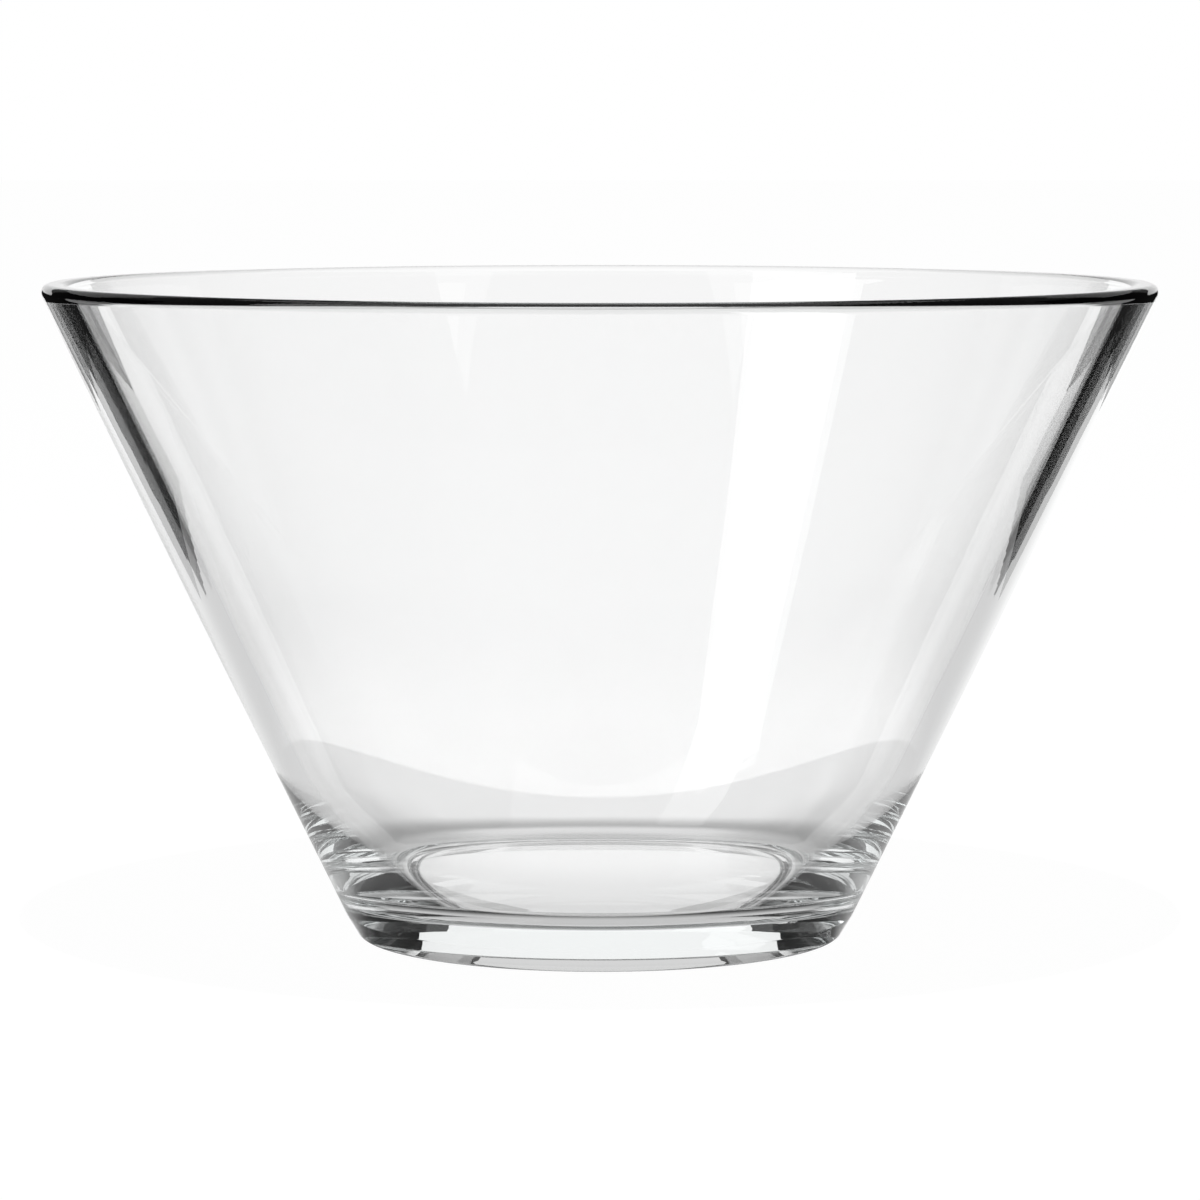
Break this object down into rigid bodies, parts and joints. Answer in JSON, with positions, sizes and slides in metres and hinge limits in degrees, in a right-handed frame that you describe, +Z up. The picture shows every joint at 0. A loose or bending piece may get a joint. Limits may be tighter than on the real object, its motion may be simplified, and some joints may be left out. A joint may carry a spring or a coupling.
{
  "type": "salad bowl",
  "caption": "Conical clear pressed-glass salad bowl with a level fire-polished rim, a thick base, a flat inner floor and a standing ring round a shallow recess underneath.",
  "frame": {"origin": "centre of the standing ring, on the plane that the bowl stands on", "axes": "+Z up along the axis of the bowl; the picture looks along +Y; the bowl is round, so X and Y are free"},
  "size_m": [0.25, 0.25, 0.1478],
  "materials": {
    "clear_glass": "clear, fire-polished"
  },
  "bodies": {
    "root": {"glass_bowl": "clear_glass"}
  },
  "joints": []
}
